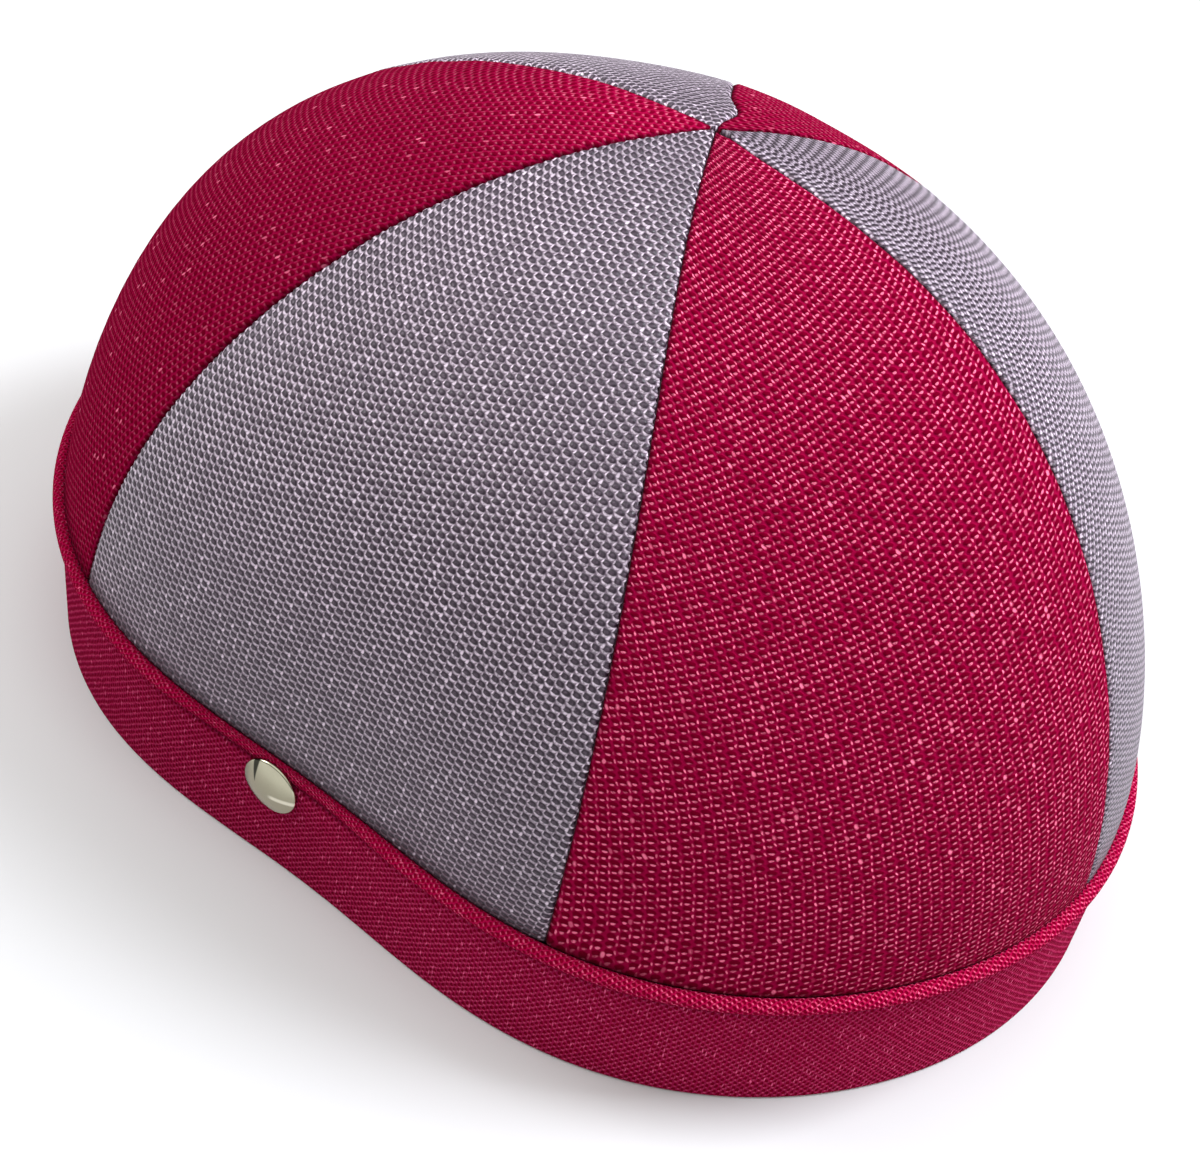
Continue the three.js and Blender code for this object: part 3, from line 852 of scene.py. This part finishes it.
band = make_band()
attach(band, "root")
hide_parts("band")


# The snaps.
SNAP_SIDES = 144
SNAP_ROWS = 48
SNAP_OFF_BAND = 0.1
SNAP_POLE = 0.05
SNAP_DOME_POWER = 2.2


def snap_profile():
    """Radii and heights of a snap, from its flange inside the band to the middle of its dome."""
    flange_radius = SNAP_RADIUS - SNAP_FLANGE_INSET
    flange_top = -BAND_WALL - FIT_GAP
    hidden = [
        (SNAP_POLE, flange_top - SNAP_FLANGE),
        (flange_radius, flange_top - SNAP_FLANGE),
        (flange_radius, flange_top),
        (SNAP_POST_RADIUS, flange_top),
        (SNAP_POST_RADIUS, SNAP_OFF_BAND),
        (SNAP_RADIUS - SNAP_RIM, SNAP_OFF_BAND),
    ]
    rim_centre = (SNAP_RADIUS - SNAP_RIM, SNAP_OFF_BAND + SNAP_RIM)
    rim = arc(rim_centre, SNAP_RIM, -math.pi / 2, math.pi * 0.3, 8)
    radii = np.linspace(rim[-1][0], SNAP_POLE, SNAP_ROWS)[1:]
    rise = 1 - (radii / rim[-1][0]) ** SNAP_DOME_POWER
    dome = np.stack([radii, lerp(rim[-1][1], FIT_GAP + SNAP_DOME, rise)], -1)
    return np.concatenate([np.array(hidden), rim, dome])


def snap_painted_reflections(radius, turn):
    """Painted reflections on the dome: a dark wedge, a bright highlight streak and a darker lower
    back.
    """
    share = radius / SNAP_RADIUS
    across, up = share * np.cos(turn), share * np.sin(turn)
    # The painted dark wedge widens upwards, and the painted highlight streak lies across the lower
    # front.
    wedge = 0.13 * np.clip((up - 0.02) / 0.85, 0, 1)
    from_wedge = np.abs(across + 0.45 + 0.12 * up)
    dark = smooth(wedge - from_wedge, -0.03, 0.03) * smooth(up, 0.0, 0.1)
    from_streak = np.abs(up + 0.2 - 0.12 * across)
    streak = smooth(0.07 - from_streak, -0.06, 0.05) * smooth(across, 0.0, 0.3)
    flank = smooth(share, 0.55, 0.95) * np.clip(np.cos(turn - 215 * DEGREE), 0, 1)
    return 0.5 + 0.5 * streak * (1 - flank) - 0.48 * dark - 0.3 * flank * (1 - dark)


def make_snap(side):
    psi, origin, outward = SNAP_PLACES[side]
    upward = np.array([0, 0, 1.0])
    sideways = np.cross(upward, outward)
    profile = snap_profile()
    turn = np.arange(SNAP_SIDES) / SNAP_SIDES * TURN
    ring = np.cos(turn)[:, None] * sideways + np.sin(turn)[:, None] * upward
    points = origin + profile[:, :1, None] * ring[None] + profile[:, 1:, None] * outward
    faces = tube_faces(len(profile), SNAP_SIDES)
    mesh = bpy.data.meshes.new("snap")
    mesh.from_pydata((points.reshape(-1, 3) * METRES).tolist(), [], faces)
    mesh.update()
    mesh.shade_smooth()
    mesh.materials.append(NICKEL)
    # The shade attribute carries the dome's painted reflections.
    painted_reflections = mesh.attributes.new("shade", "FLOAT", "POINT")
    painted_reflections.data.foreach_set("value", snap_painted_reflections(profile[:, :1], turn).ravel().astype(np.float32))
    piece = bpy.data.objects.new("metal_snap_" + side, mesh)
    bpy.context.scene.collection.objects.link(piece)
    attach(piece, "root")
    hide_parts("snap_" + side)


for side in SNAP_PLACES:
    make_snap(side)


# The camera, the floor and the light.
def place_camera():
    azimuth = CAMERA_AZIMUTH * DEGREE
    elevation = CAMERA_ELEVATION * DEGREE
    roll = CAMERA_ROLL * DEGREE
    level = math.cos(elevation)
    back = Vector((math.sin(azimuth) * level, -math.cos(azimuth) * level, math.sin(elevation)))
    right = Vector((math.cos(azimuth), math.sin(azimuth), 0))
    up = back.cross(right)
    tilted_right = right * math.cos(roll) + up * math.sin(roll)
    tilted_up = up * math.cos(roll) - right * math.sin(roll)
    aim = Vector((0, 0, CAMERA_AIM_HEIGHT))
    place = aim + tilted_right * CAMERA_RIGHT + tilted_up * CAMERA_UP + back * CAMERA_DISTANCE
    data = bpy.data.cameras.new("camera")
    data.lens = CAMERA_LENS
    data.sensor_width = CAMERA_SENSOR
    data.sensor_fit = "HORIZONTAL"
    data.clip_start = 0.01
    camera = bpy.data.objects.new("camera", data)
    axes = Matrix((tilted_right, tilted_up, back)).transposed().to_4x4()
    camera.matrix_world = Matrix.Translation(place * METRES) @ axes
    bpy.context.scene.collection.objects.link(camera)
    bpy.context.scene.camera = camera


# The floor and the round backdrop on it, in metres.
FLOOR_HALF = 20.0
FLOOR_COLOUR = (0.62, 0.62, 0.62, 1)
BACKDROP_RADIUS = 1.6
BACKDROP_HEIGHT = 4.0
BACKDROP_SIDES = 96
BACKDROP_LIGHT = 0.8


def add_stage(name, shader, points, faces):
    mesh = bpy.data.meshes.new(name)
    mesh.from_pydata(points, [], faces)
    mesh.materials.append(shader.material)
    stage = bpy.data.objects.new(name, mesh)
    bpy.context.scene.collection.objects.link(stage)
    return stage


def make_floor():
    shader = Shader("floor_paint")
    shader.surface.inputs["Base Color"].default_value = FLOOR_COLOUR
    shader.surface.inputs["Roughness"].default_value = 0.9
    corners = [(-1, -1), (1, -1), (1, 1), (-1, 1)]
    points = [(x * FLOOR_HALF, y * FLOOR_HALF, 0) for x, y in corners]
    add_stage("floor", shader, points, [(0, 1, 2, 3)])


def make_backdrop():
    """A pale wall that is seen in low views, and neither lights nor shades the cap."""
    shader = Shader("backdrop_paint")
    shader.surface.inputs["Base Color"].default_value = (0, 0, 0, 1)
    shader.surface.inputs["Emission Color"].default_value = (1, 1, 1, 1)
    shader.surface.inputs["Emission Strength"].default_value = BACKDROP_LIGHT
    turn = np.arange(BACKDROP_SIDES) / BACKDROP_SIDES * TURN
    ring = BACKDROP_RADIUS * np.stack([np.cos(turn), np.sin(turn), np.zeros_like(turn)], -1)
    points = np.concatenate([ring, ring + [0, 0, BACKDROP_HEIGHT]])
    faces = grid_faces(2, BACKDROP_SIDES, around=True)
    backdrop = add_stage("backdrop", shader, points.tolist(), faces.tolist())
    backdrop.visible_diffuse = False
    backdrop.visible_glossy = False
    backdrop.visible_shadow = False


# The lights, with lengths in metres.
SKY_STRENGTH = 1.45
LIGHT_AIM = (0, 0, 0.08)
LIGHTS = [
    {"name": "key", "place": (0.4, -0.4, 0.8), "size": 0.35, "power": 9.5, "colour": (0.97, 1, 1.08)},
    {"name": "fill", "place": (-0.35, 0.9, 0.75), "size": 0.5, "power": 6, "colour": (1, 1, 1)},
]


def add_area_light(name, place, size, power, colour):
    data = bpy.data.lights.new(name, "AREA")
    data.color = colour
    data.size = size
    data.energy = power
    light = bpy.data.objects.new(name, data)
    light.location = place
    towards = Vector(LIGHT_AIM) - Vector(place)
    light.rotation_euler = towards.to_track_quat("-Z", "Y").to_euler()
    bpy.context.scene.collection.objects.link(light)


def set_light():
    """A sky that is dark at the horizon and bright overhead, with a key light and a fill light."""
    world = bpy.data.worlds.new("studio")
    world.use_nodes = True
    tree = world.node_tree
    place = tree.nodes.new("ShaderNodeTexCoord")
    parts = tree.nodes.new("ShaderNodeSeparateXYZ")
    ramp = tree.nodes.new("ShaderNodeMapRange")
    tree.links.new(place.outputs["Generated"], parts.inputs["Vector"])
    tree.links.new(parts.outputs["Z"], ramp.inputs["Value"])
    ramp.inputs["To Min"].default_value = 0.0
    ramp.inputs["To Max"].default_value = SKY_STRENGTH
    tree.links.new(ramp.outputs["Result"], tree.nodes["Background"].inputs["Strength"])
    tree.nodes["Background"].inputs["Color"].default_value = (1, 1, 1, 1)
    bpy.context.scene.world = world
    for light in LIGHTS:
        add_area_light(**light)
    bpy.context.scene.view_settings.view_transform = "Standard"


place_camera()
make_floor()
make_backdrop()
set_light()
